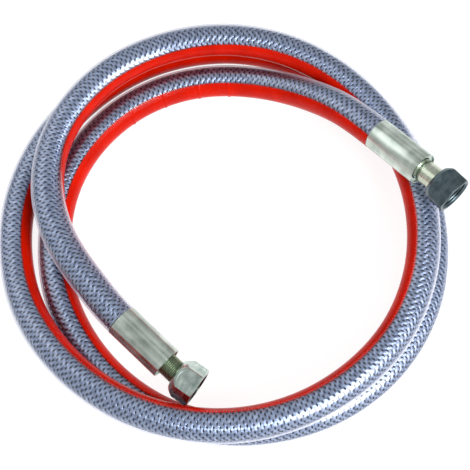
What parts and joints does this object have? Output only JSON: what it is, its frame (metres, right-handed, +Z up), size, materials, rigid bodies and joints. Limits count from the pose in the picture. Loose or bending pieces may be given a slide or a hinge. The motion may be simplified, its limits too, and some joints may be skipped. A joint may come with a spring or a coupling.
{
  "type": "braided gas hose",
  "caption": "Coiled stainless-braided gas hose in a clear striped sheath, with a crimped swivel-nut fitting on each end.",
  "frame": {"origin": "on the floor, below the middle of the coil's box", "axes": "+Z up off the floor; +X along the coil's longest width, towards the cantilevered fitting b; +Y away from fitting a"},
  "size_m": [0.2802, 0.2694, 0.0704],
  "materials": {
    "sheath": "clear glossy PVC with a wide orange-red stripe along the inside of the coil",
    "braid": "woven stainless wire, bright crowns and dark gaps",
    "liner": "matt black rubber tube",
    "ferrule": "satin crimped sleeve",
    "tail": "turned steel with fine lathe lines",
    "bright_nut": "bright machined steel",
    "dark_nut": "the same steel seen dark, satin"
  },
  "bodies": {
    "hose": {"clear_sheath": "sheath", "wire_braid": "braid", "inner_tube": "liner", "ferrule_a": "ferrule", "ferrule_b": "ferrule", "tail_a": "tail", "tail_b": "tail"},
    "nut_a_body": {"nut_a": "bright_nut"},
    "nut_b_body": {"nut_b": "dark_nut"}
  },
  "joints": [
    {"name": "nut_a_spin", "type": "hinge", "parent": "hose", "child": "nut_a_body", "pos_m": [-0.02919, -0.09461, 0.02585], "axis": [0.8211, -0.5665, -0.0698], "continuous": true},
    {"name": "nut_b_spin", "type": "hinge", "parent": "hose", "child": "nut_b_body", "pos_m": [0.12115, 0.01322, 0.05728], "axis": [0.6675, -0.7413, 0.0698], "continuous": true}
  ]
}
